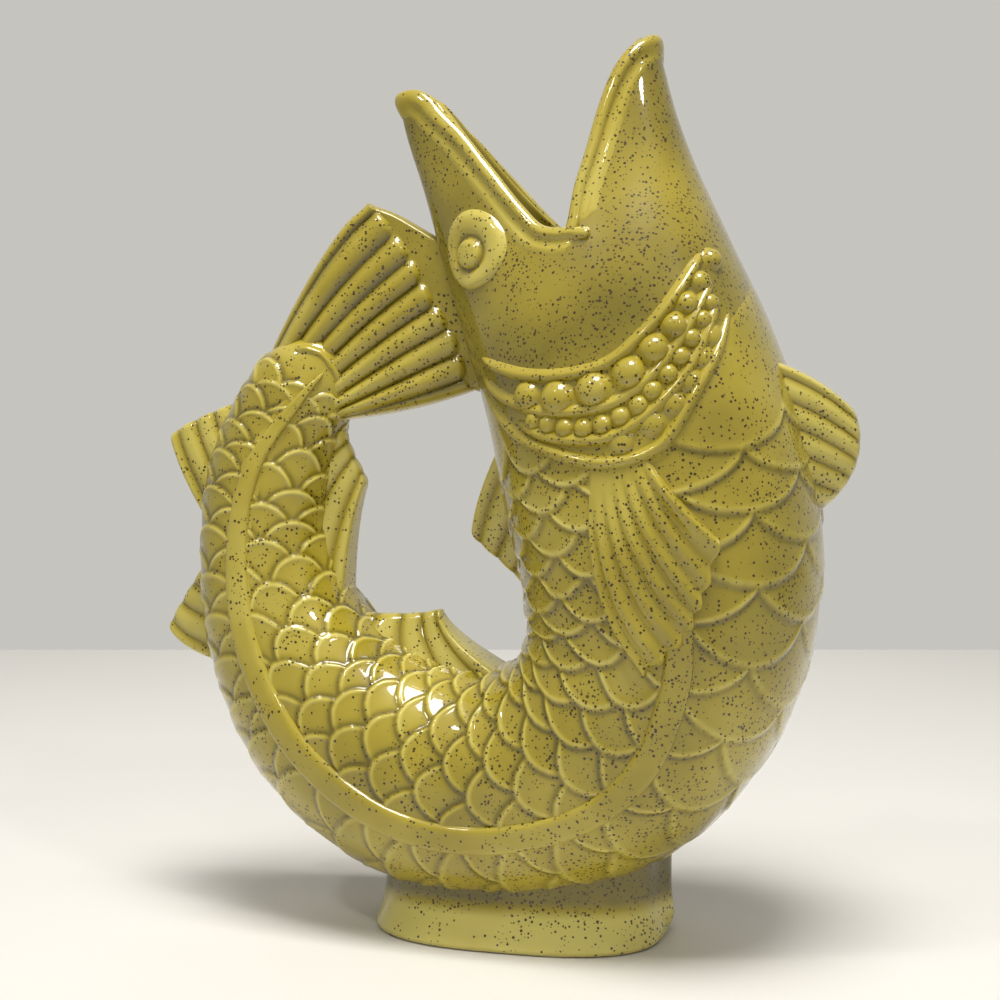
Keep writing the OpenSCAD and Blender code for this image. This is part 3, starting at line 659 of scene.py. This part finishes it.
# Stations and angles, and for the big ones their radius as a share of BEAD_R.
BIG_BEADS = [(3.81, 121, 1.0), (3.96, 109, 1.1), (4.01, 95, 1.12), (3.98, 81, 1.04),
             (3.85, 70, 0.96), (3.72, 60, 0.86), (3.56, 52, 0.76), (3.40, 43, 0.74),
             (3.20, 32, 0.74)]
SMALL_BEADS = [(4.10, 121), (4.19, 115), (4.28, 109), (4.34, 102), (4.36, 95), (4.34, 88),
               (4.29, 81), (4.20, 75), (4.10, 68), (3.99, 62), (3.87, 56), (3.75, 49), (3.63, 43)]
FAINT_BEADS = [(4.57, 90), (4.48, 78), (4.37, 69), (4.22, 61), (4.05, 54), (3.90, 48)]
BEAD_R, BEAD_DEPTH, BEAD_SPOKES, BEAD_RINGS = 0.0041, 1.3 * MM, 32, 19
# Shares of BEAD_R for the radius and height of small and faint beads, and a big one's height over
# its radius.
SMALL, FAINT, BIG_HIGH = (0.64, 0.48), (0.80, 0.34), 0.72
# Shares of a bead's radius and of its height: a dome with a soft foot that runs into the next.
DOME = [(0, 1), (0.2, 0.98), (0.4, 0.91), (0.58, 0.79), (0.72, 0.64), (0.84, 0.46), (0.94, 0.27),
        (1.03, 0.12), (1.12, 0.02), (1.22, -0.14)]

dome_r, dome_high = along(DOME, BEAD_RINGS)
places = [(u, v, share, share * BIG_HIGH) for u, v, share in BIG_BEADS]
places += [(u, v, *SMALL) for u, v in SMALL_BEADS] + [(u, v, *FAINT) for u, v in FAINT_BEADS]
beads = [round_pad((u, v), (BEAD_R * r,) * 2, dome_r, BEAD_R * h * dome_high, BEAD_SPOKES,
                   BEAD_DEPTH)
         for u, v, r, h in places]
on_both_sides("gill_pearls", beads, "gill_beads")

# Flank bands
# The smooth band along each flank that parts the upper scales from the lower ones. It narrows to
# a point at the tail and starts under the tip of the side fin.

BAND_H, BAND_END = 0.0014, 6.12
BAND_WIDTH = [(6.3, 0.0076), (8, 0.0080), (11, 0.0085), (13, 0.0066), (14.14, 0.0052),
              (14.97, 0.0034), (15.40, 0.0019), (15.65, 0.0008)]
shown_band = BAND[BAND[:, 0] >= BAND_END]
band = [ridge(shown_band, BAND_WIDTH, BAND_H, crown=5, fall=0.6, count=260, columns=33, ends=0.03)]
on_both_sides("band", band, "flank_band")

# Arc round the end of the tail
# A fine raised line that rounds off the scaled body over the root of the tail fan.

TAIL_ARC = [(15.66, 60), (15.78, 70), (15.85, 97), (15.80, 123), (15.64, 149), (15.20, 168)]
arc = [ridge(TAIL_ARC, 0.0032, 0.0013, count=90, columns=13, ends=0.06)]
on_both_sides("tail_arc", arc)

# Side fins
# A fan of seven ribs on each flank, below the gill lines. The ribs are narrow crests between
# hollow grooves, and the free edge is scalloped, with a fine raised rim.

# Root, bend and tip of the ribs at the fan's two sides, and the tips from the first to the last.
FIRST_RIB = np.array([[4.60, 102], [6.20, 119], [6.84, 88.5]])
LAST_RIB = np.array([[4.62, 84], [5.20, 77], [5.58, 63.5]])
RIB_TIPS = [(6.84, 88.5), (6.62, 81), (6.40, 74.5), (6.17, 71), (5.91, 67.5), (5.58, 63.5)]
SIDE_RIBS = 7


def bend(a, b, c, t):
    """Quadratic curve from a past b to c: (1-t)^2 a + 2t(1-t) b + t^2 c."""
    return (1 - t) ** 2 * a + 2 * t * (1 - t) * b + t ** 2 * c


def lobes(t, ribs, sharpness=0.7):
    """1 on each rib and 0 in the groove between two: |cos| of the rib number's half turns, raised
    to a power. Below 1 it gives broad ribs, above 1 narrow ones."""
    return abs(np.cos(np.pi * t * (ribs - 1))) ** sharpness


def outward(count):
    """0 at a fin's root to 1 at its free edge, crowded towards the edge."""
    return 1 - np.linspace(1, 0, count) ** 1.7


# Tips reach out by 2.8% from groove to crest. The last half groove falls outside the fan. Heights:
# the fin's own, growing from its root, then the crests, the rim and the fold along the last rib.
SIDE_GRID, SCALLOP, CREST_RUN, SIDE_SEAT = (151, 91), 0.028, 1.06, 0.6 * MM
SIDE_RISE, CREST_RISE, RIM_RISE, FOLD_RISE = 0.8 * MM, 1.4 * MM, 0.5 * MM, 1.2 * MM

across = crowded(SIDE_GRID[0])[:, None, None]
out = outward(SIDE_GRID[1])[None, :, None]
tips = along(RIB_TIPS, SIDE_GRID[0], EDGE_CROWD).T[:, None]
crest = lobes(across[..., 0] * CREST_RUN, SIDE_RIBS, 1.5)
reach_out = out * (1 + SCALLOP * (crest[..., None] - 0.6))
first, last = FIRST_RIB[:, None, None], LAST_RIB[:, None, None]
roots, bends = (first[i] + (last[i] - first[i]) * across for i in (0, 1))
fin_uv = bend(roots, bends, tips, reach_out)
fin_u, fin_v = fin_uv[..., 0], fin_uv[..., 1]
flat = skin(fin_u, fin_v)
to_tip, to_first, to_last = (size(flat - side) for side in (flat[:, -1:], flat[:1], flat[-1:]))
border = rounded(to_tip, 1.2 * MM) * rounded(to_first, 1.5 * MM) * rounded(to_last, 1.5 * MM)
rise = 0.1 * MM + SIDE_RISE * ease(0, 0.3, out[..., 0]) \
    + CREST_RISE * crest * ease(0.08, 0.4, out[..., 0]) \
    + RIM_RISE * np.exp(-((to_tip - 0.9 * MM) / (0.7 * MM)) ** 2) \
    + FOLD_RISE * np.exp(-((to_last - 2.3 * MM) / (2.0 * MM)) ** 2) * ease(0.1, 0.4, out[..., 0])
side_fin = [slab(skin(fin_u, fin_v, -SIDE_SEAT + (rise + SIDE_SEAT) * border),
                 skin(fin_u, fin_v, -SIDE_SEAT - 0.8 * MM * border))]
# Painted shade: the glaze pools dark in the grooves, and the whole side fin is painted about 0.1
# darker, as if in shade.
groove = np.clip((crest - 0.65) * 1.5, -1.0, 0.4)
on_both_sides("pectoral", side_fin, "side_fin", groove)

# Edge fins
# Six thick fins on the mould seam, swept towards the tail: one under the belly's front, one
# behind the head, one in the loop of the handle, one inside the tail and two outside it. Each
# has rounded ribs and is cast with the body.

FIN_H, FIN_EDGE, FIN_ROOT, BELLY_ROOT, RIB_RISE, FIN_SINK = 0.016, 0.004, 0.013, 0.026, 0.001, 0.006
# Points for each rib and out to the edge, how much the edge dips in a groove and at the peak, and
# the rounding of the edges.
PER_RIB, FIN_OUT, FIN_SCALLOP, PEAK_DIP, PLATE_ROUND = 24, 61, 0.010, 0.05, 1.7 * MM
# Station of the front root, station and height of the front's middle, of the peak and of the
# rear's middle, and station of the rear root, then belly side or not, root thickness and ribs.
EDGE_FINS = {
    "neck_fin": ((3.95, 4.60, 0.42, 5.22, 0.84, 5.80, 0.36, 6.30), False, FIN_ROOT, 5),
    "loop_fin": ((8.60, 10.05, 0.44, 10.84, 0.86, 11.30, 0.56, 11.80), False, 1.45 * FIN_ROOT, 5),
    "tail_back_fin": ((11.80, 13.00, 0.40, 14.30, 0.66, 14.70, 0.24, 15.10), False, FIN_ROOT, 5),
    "upper_tail_fin": ((13.10, 13.66, 0.40, 14.09, 1.00, 14.36, 0.46, 14.66), True, FIN_ROOT, 5),
    "lower_tail_fin": ((11.90, 12.18, 0.52, 12.38, 0.92, 12.62, 0.46, 12.95), True, FIN_ROOT, 5),
    "belly_fin": ((4.12, 4.45, 0.36, 4.80, 0.86, 5.24, 0.64, 5.54), True, BELLY_ROOT, 7)}


def edge_place(u, height, belly):
    """Place in y = 0, height metres off the belly line or the back line."""
    u = np.asarray(u, float)
    sign = 1 if belly else -1
    return body(u, 0 if belly else 180)[..., [0, 2]] + outwards(u) * sign * height


def plate(middle, half):
    """Closed fin on a grid of places in y = 0, half metres thick to each side. The first rib, the
    last rib and the free edge are rounded over 1.7 mm, and what is left of them is flat."""
    radius, edge = np.minimum(half, PLATE_ROUND), 1
    for side in (middle[:, -1:], middle[:1], middle[-1:]):
        edge = edge * rounded(size(middle - side), radius)
    return two_faced(middle, half - radius * (1 - edge))


def two_faced(middle, y):
    """Solid between a face y metres to the near side of a grid of places, and its mirror image."""
    near = np.stack([middle[..., 0], -y, middle[..., 1]], -1)
    return slab(near, near * [1, -1, 1])


for node, (shares, belly, root_thick, ribs) in EDGE_FINS.items():
    across = crowded(PER_RIB * (ribs - 1) + 1)[:, None, None]
    out = outward(FIN_OUT)[None, :, None]
    front = edge_place(shares[1], shares[2] * FIN_H, belly)
    peak = edge_place(shares[3], shares[4] * FIN_H, belly)
    rear = edge_place(shares[7], -1 * MM, belly)
    rear_bend = 2 * edge_place(shares[5], shares[6] * FIN_H, belly) - (peak + rear) / 2
    root = edge_place(shares[0] + (shares[7] - shares[0]) * across[..., 0], -FIN_SINK, belly)
    tip = bend(peak, rear_bend, rear, across)
    straight = (root + tip) / 2
    mid = straight + (front - straight[:1]) * (1 - across) ** 1.6
    crest = lobes(across[..., 0], ribs)
    length = out * (1 + FIN_SCALLOP * (crest[..., None] - 1) - PEAK_DIP * np.exp(-across / 0.04))
    middle = bend(root, 2 * mid - straight, tip, length)
    half = (root_thick + (FIN_EDGE - root_thick) * out[..., 0]) / 2 + RIB_RISE * (0.9 * crest - 0.4)
    groove = np.clip((crest - 0.55) * 1.4, -0.9, 0.5) + 0 * out[..., 0]
    pool_and_painted_light = np.tile(groove, (2, 1))
    glazed(add_piece(node + "_ribbed", [plate(middle, half)], pool_and_painted_light), node)

# Tail fan
# The fan that closes the handle: nine lobed ribs spread from the end of the tail, and past their
# tips a lower, smooth web runs on to the back of the head.

FAN_ROOTS = np.array([[-0.334, 0.590], [-0.216, 0.578]]) * JUG_H
FAN_BENDS = np.array([[-0.277, 0.736], [-0.132, 0.586]]) * JUG_H
FAN_TIPS = np.array([[-0.186, 0.836], [-0.137, 0.778], [-0.107, 0.724], [-0.075, 0.670],
                     [-0.058, 0.612]]) * JUG_H
FAN_HEAD, FAN_ROOT, FAN_EDGE, FAN_RIBS = (2.08, 3.62), 0.011, 0.008, 9
# Cells out to the tips and over the web, how far the top corner is drawn in and over what reach,
# and what a rib and the groove beside it add to half the plate.
FAN_OUT, WEB_OUT, CORNER_IN, CORNER_REACH = 80, 30, 2.0 * MM, 7 * MM
FAN_RISE, FAN_GROOVE, WEB_DROP = 1.9 * MM, 0.2 * MM, 0.9 * MM

across = crowded(PER_RIB * (FAN_RIBS - 1) + 1)[:, None, None]
ribs_out = np.linspace(0, 1, FAN_OUT + 1)[None, :, None]
web_out = np.linspace(0, 1, WEB_OUT + 1)[None, 1:, None]
roots, bends = (a[0] + (a[1] - a[0]) * across for a in (FAN_ROOTS, FAN_BENDS))
tips = along(FAN_TIPS, len(across), EDGE_CROWD).T[:, None]
head = edge_place(FAN_HEAD[0] + (FAN_HEAD[1] - FAN_HEAD[0]) * across[..., 0], -FIN_SINK, False)
middle = np.concatenate([bend(roots, bends, tips, ribs_out), tips + (head - tips) * web_out], 1)
# The fan's top corner is blunt: near it the plate is drawn in towards its own middle.
corner = middle[0, FAN_OUT]
inwards = unit(middle[len(middle) // 2, 3 * FAN_OUT // 4] - corner)
drawn = np.exp(-(size(middle - corner) / CORNER_REACH) ** 2)[..., None]
middle = middle + CORNER_IN * drawn * inwards
crest = lobes(across[..., 0], FAN_RIBS)
to_tip = size(middle - tips) * np.where(np.arange(middle.shape[1]) > FAN_OUT, -1, 1)
# Each lobe ends in a round nose just before the line of tips.
nose = rounded(to_tip - 1.6 * MM * (1 - crest), 2.2 * MM)
flare = np.concatenate([ribs_out[..., 0], 1 + 0 * web_out[..., 0]], 1)
half = (FAN_ROOT + (FAN_EDGE - FAN_ROOT) * flare) / 2 - WEB_DROP * ease(0.6, 1, flare) \
    + (FAN_RISE * crest * ease(0, 0.2, flare) + FAN_GROOVE) * nose
to_top, to_low = size(middle - middle[:1]), size(middle - middle[-1:])
fan = [two_faced(middle, half * rounded(to_top, half) * rounded(to_low, half))]
# Painted shade: the whole fan, ribs and web, is painted 0.2 darker, as if in shade; besides that
# the glaze pools dark in its grooves.
groove = (np.clip((crest - 0.7) * 1.5, -0.8, 0.3) - 0.2) * nose - 0.2 * (1 - nose)
glazed(add_piece("tail_fan_ribbed", fan, np.tile(groove, (2, 1))), "tail_fan")

# Foot
# The oval foot that the jug stands on, cast hollow with the body and open to it: a flat base,
# a wall that flares from the waist, and the trimmed mould seam down its end.

FLOOR_H = 0.32 * FOOT_H
# Sweep in to the waist and the height it ends at; depth of the seam's folds and of the waves of
# trimming; radius under the wall, and what the seam's end adds to it.
SWEEP, SWEEP_H, FOLD, WAVE = 1.35, 14 * MM, 2.6 * MM, 0.15 * MM
SKIRT_ROUND, SEAM_ROUND = 1.6 * MM, 3.0 * MM


def oval(turn, waist, inset):
    """Outline of the foot, drawn in from its base's size to the waist's by a share, and inset."""
    c, w = np.cos(turn), np.sin(turn)
    r = (abs(c) ** FOOT_SQUARENESS + abs(w) ** FOOT_SQUARENESS) ** (-1 / FOOT_SQUARENESS)
    long = (FOOT_LEN + (WAIST_LEN - FOOT_LEN) * waist) / 2 - inset
    wide = (FOOT_WID + (WAIST_WID - FOOT_WID) * waist) / 2 - inset
    return long * c * r, wide * w * r


def belly_height(x, y):
    """Height of the body's underside over a place on the table: Newton's method on u and v, so
    that the skin's x and y there are the place's own."""
    u, v = 9 - x / 0.027, np.degrees(np.arcsin(np.clip(abs(y) / 0.040, 0, 0.9)))
    for _ in range(12):
        p = body(u, v)
        pu, pv = slopes(u, v)
        ex, ey = x - p[..., 0], -abs(y) - p[..., 1]
        full = pu[..., 0] * pv[..., 1] - pu[..., 1] * pv[..., 0]
        full = np.where(abs(full) < 1e-9, 1e-9, full)
        u = u + np.clip((ex * pv[..., 1] - ey * pv[..., 0]) / full, -0.5, 0.5)
        v = np.clip(v + np.clip((pu[..., 0] * ey - pu[..., 1] * ex) / full, -15, 15), 0, 89)
    return body(u, v)[..., 2]


turn = np.linspace(0, 2 * np.pi, 240, endpoint=False)[None]
x, y = oval(turn, 1.0, FOOT_WALL / 2)
top_z = belly_height(x, y) + 1.5 * MM
p = np.linspace(0, 1, 61)[:, None]
share = np.clip(p / 0.2, 0, 1)
corner = np.clip((p - 0.2) / 0.12, 0, 1) * np.pi / 2
climb = np.clip((p - 0.32) / 0.68, 0, 1)


def foot_skin(inset, radius, floor, hand=0.0):
    """Rings from the middle of a floor out to a corner of a radius and up the wall to the belly.
    The wall sweeps in to the waist as 1 - (1 - t)^2 of its height, so it spreads like a skirt.
    hand adds the slow waves of trimming by hand and the mould seam's folds at the two ends."""
    z = floor + radius * (1 - np.cos(corner)) + (top_z - floor - radius) * climb
    waist = SWEEP * (1 - (1 - np.clip((z - 1.5 * MM) / SWEEP_H, 0, 1)) ** 2)
    at_seam = np.exp(-(aside_of(0) / 0.16) ** 2) + 0.35 * np.exp(-(aside_of(np.pi) / 0.10) ** 2)
    fold = hand * FOLD * at_seam * ease(1 * MM, 8 * MM, z)
    wave = hand * WAVE * (np.sin(3 * turn + 1) + 0.6 * np.sin(5 * turn)) + fold
    x, y = oval(turn, waist, inset + radius * (1 - np.sin(corner)) - wave)
    return np.stack([x * share, y * share, z], -1)


def aside_of(middle):
    """Angle round the foot from a place on it, between half a turn back and half a turn on."""
    return (turn - middle + np.pi) % (2 * np.pi) - np.pi


outer_radius = SKIRT_ROUND + SEAM_ROUND * np.exp(-(aside_of(0) / 0.45) ** 2)
outside = foot_skin(0, outer_radius, 0, 1.0)
cup = [slab(outside, foot_skin(FOOT_WALL, 2 * MM, FLOOR_H), closed=True)]
# Painted light and shade: the low skirt is painted pale, as if brightly lit, and the wall's top,
# in the crease under the belly, dark, as if in the belly's shadow.
foot_z = outside[..., 2]
foot_painted_light_and_shade = 0.9 - 1.9 * ease(8 * MM, 14 * MM, foot_z)
glazed(add_piece("foot_cup", cup, foot_painted_light_and_shade), "foot_ring", "foot_base")

# Table, backdrop and light
# A pale table top whose far edge is half a metre behind the jug, with a pale grey wall beyond.
# Large soft lamps stand in front, behind and overhead, and two small ones make sharp lights.

VIEW_TURN = np.radians(15)
TABLE_NEAR, TABLE_FAR, TABLE_SIDE, TABLE_THICK = -0.5, 0.53, 1.8, 0.03
ahead = np.array([-np.sin(VIEW_TURN), np.cos(VIEW_TURN), 0])
aside = np.array([np.cos(VIEW_TURN), np.sin(VIEW_TURN), 0])
top = np.array([[ahead * a + aside * b for b in (-TABLE_SIDE, TABLE_SIDE)]
                for a in (TABLE_NEAR, TABLE_FAR)])
table = add_piece("table_top", [slab(top, top - [0, 0, TABLE_THICK])])
paint = bpy.data.materials.new("matt_pale_table")
paint.use_nodes = True
tree = paint.node_tree
place = add_node(tree, "TexCoord").outputs["Object"]
grain = add_node(tree, "TexNoise", {"Vector": place, "Scale": 1 / (167 * MM)})
tone = add_node(tree, "Mix", {0: grain, 6: colour("#e2e1de"), 7: colour("#e8e7e4")},
                data_type="RGBA")
plug(tree.nodes["Principled BSDF"], {"Base Color": tone.outputs[2], "Roughness": 0.6})
table.data.materials.append(paint)

# The wall is what the camera, glossy and transmission rays see, and a dim room lights the jug.
world = bpy.data.worlds.new("studio")
bpy.context.scene.world = world
world.use_nodes = True
tree = world.node_tree
rays = add_node(tree, "LightPath")
seen = rays.outputs["Is Camera Ray"]
for kind in ("Is Transmission Ray", "Is Glossy Ray"):
    seen = add_node(tree, "Math", {0: seen, 1: rays.outputs[kind]}, operation="MAXIMUM")
wall = add_node(tree, "Background", {"Color": colour("#c6c4be"), "Strength": 1.0})
room = add_node(tree, "Background", {"Color": colour("#f6f4f0"), "Strength": 0.12})
both = add_node(tree, "MixShader", {0: seen, 1: room, 2: wall})
plug(tree.nodes["World Output"], {"Surface": both})


def facing(at, aim, upwards):
    """Where a lamp or camera stands: it looks along its own -z from at to aim."""
    look = unit(aim - np.asarray(at))
    side = unit(np.cross(look, upwards))
    return Matrix([*np.column_stack([side, np.cross(side, look), -look, at]), (0, 0, 0, 1)])


def lamp(name, at, width, power, tint, mirrored):
    """A square soft lamp that faces the jug. mirrored is whether the glaze shows it."""
    light = bpy.data.lights.new(name, "AREA")
    light.size, light.energy, light.color = width, power, colour(tint)[:3]
    thing = add_object(name, light)
    thing.matrix_world = facing(at, LAMP_AIM, [0, 1, 0.01])
    thing.visible_glossy = mirrored


LAMP_AIM, SOFT_WHITE, WARM_WHITE = (0, 0, 0.1), "#fffcf6", "#fffaf2"
lamp("front_lamp", (0.20, -0.75, 0.80), 0.8, 1.6, SOFT_WHITE, False)
lamp("back_lamp", (-0.20, 0.75, 0.80), 0.8, 2.2, SOFT_WHITE, False)
lamp("overhead_lamp", (0.04, -0.18, 1.02), 0.36, 9.8, SOFT_WHITE, True)
lamp("ceiling_spot_left", (-0.40, -0.45, 0.90), 0.07, 1.1, WARM_WHITE, True)
lamp("ceiling_spot_right", (0.55, -0.45, 0.80), 0.07, 1.1, WARM_WHITE, True)

# Camera
# A little above the jug's middle and 15 degrees round to the belly's side, with the photograph's
# field of view of 33.1 degrees.

CAMERA_AT, CAMERA_AIM = (0.1146, -0.4540, 0.1470), (-0.007, 0, 0.120)
LENS_PX, IMAGE_PX = 1680.67, 1000

view = bpy.data.cameras.new("camera")
view.sensor_width = 36
view.lens = view.sensor_width * LENS_PX / IMAGE_PX
camera = add_object("camera", view)
camera.matrix_world = facing(CAMERA_AT, CAMERA_AIM, [0, 0, 1])
bpy.context.scene.camera = camera
bpy.context.scene.view_settings.view_transform = "Standard"
